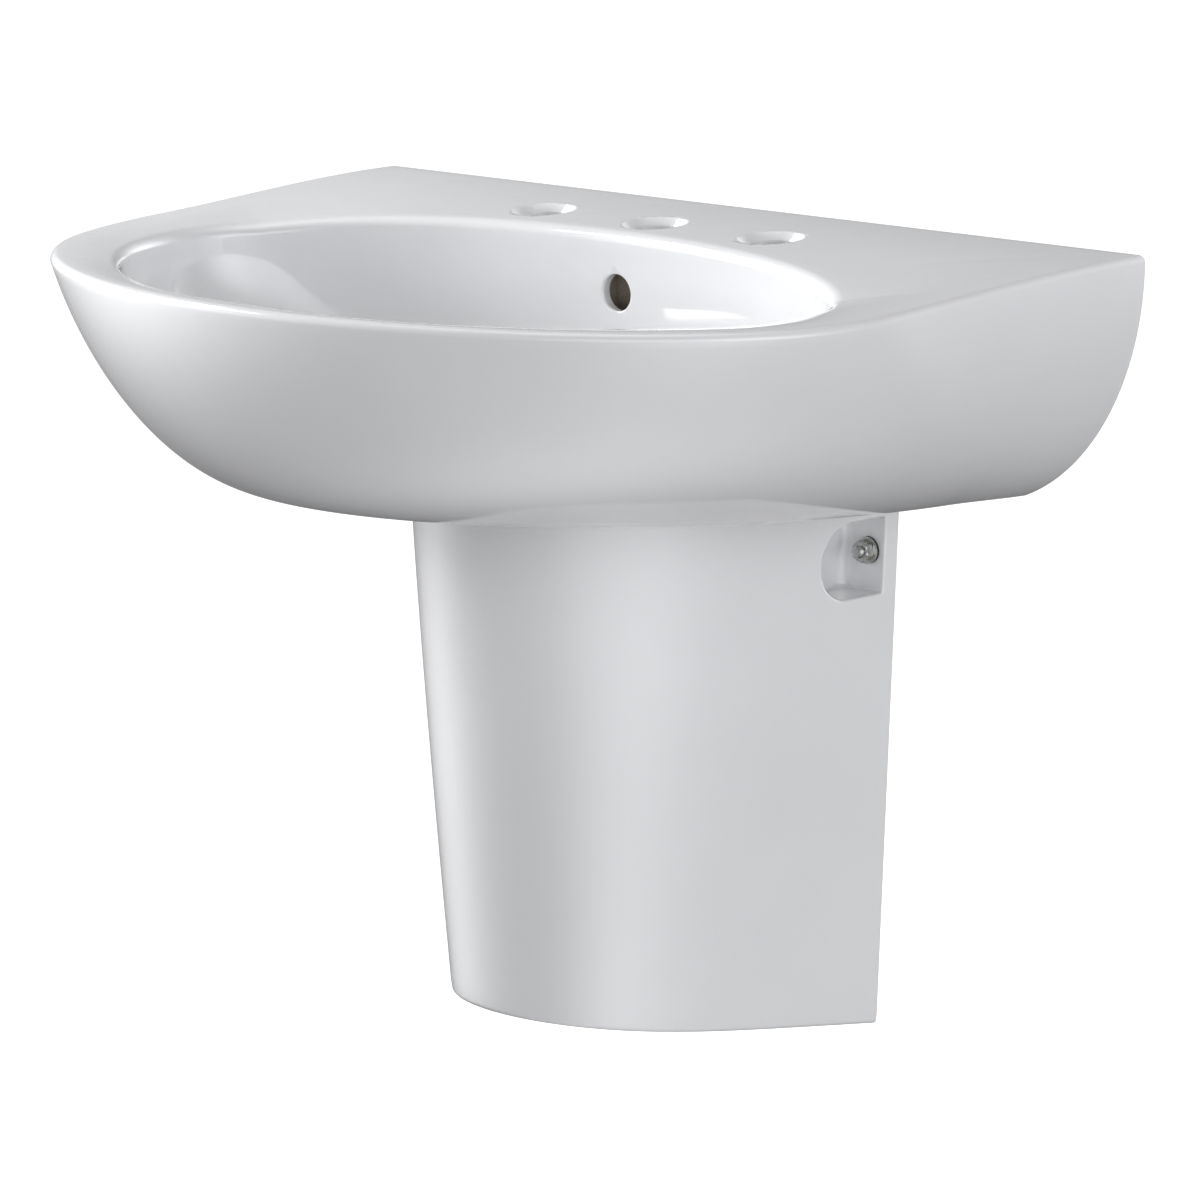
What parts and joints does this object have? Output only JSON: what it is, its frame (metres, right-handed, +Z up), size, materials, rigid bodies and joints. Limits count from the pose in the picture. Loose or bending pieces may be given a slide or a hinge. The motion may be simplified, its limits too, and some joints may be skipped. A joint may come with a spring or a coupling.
{
  "type": "wall-hung basin with half pedestal",
  "caption": "Wall-hung oval-fronted china basin with a D-shaped deck, faucet holes and overflow, over a tapering U-plan half pedestal that hides the trap.",
  "frame": {"origin": "on the wall plane, midway between the two studs that carry the basin", "axes": "+X along the wall to the right as seen from the front, +Y into the wall, +Z up"},
  "size_m": [0.672, 0.531, 0.535],
  "materials": {
    "china": "gloss white glaze over vitreous china",
    "zinc": "bright zinc plate",
    "spring_steel": "drawn wire",
    "chrome": "polished chrome plate",
    "brass": "turned, unplated",
    "rubber": "matt black",
    "plastic": "satin moulded nylon"
  },
  "bodies": {
    "root": {"basin": "china", "shroud": "china", "shroud_pads": "rubber", "basin_studs": "zinc", "basin_stud_bushes": "plastic", "basin_stud_washers": "zinc", "basin_stud_nuts": "zinc", "shroud_studs": "zinc", "shroud_soft_washers": "rubber", "shroud_washers": "zinc", "shroud_nuts": "zinc", "drain_flange": "chrome", "flange_seal": "rubber", "drain_body": "brass", "drain_gasket": "rubber", "gasket_washer": "plastic", "drain_locknut": "brass", "stopper_cartridge": "brass", "stopper_spring": "spring_steel", "tailpiece": "chrome", "trap_inlet_nut": "chrome", "trap_inlet_washer": "plastic", "trap_bend": "chrome", "trap_outlet_nut": "chrome", "trap_outlet_washer": "plastic", "trap_arm": "chrome", "wall_escutcheon": "chrome"},
    "stopper": {"stopper_cap": "chrome", "stopper_seal": "rubber", "stopper_plunger": "chrome"}
  },
  "joints": [
    {"name": "stopper_slide", "type": "slide", "parent": "root", "child": "stopper", "axis": [0, 0, 1], "range_m": [0, 0.008], "deforming": ["stopper_spring"]}
  ]
}
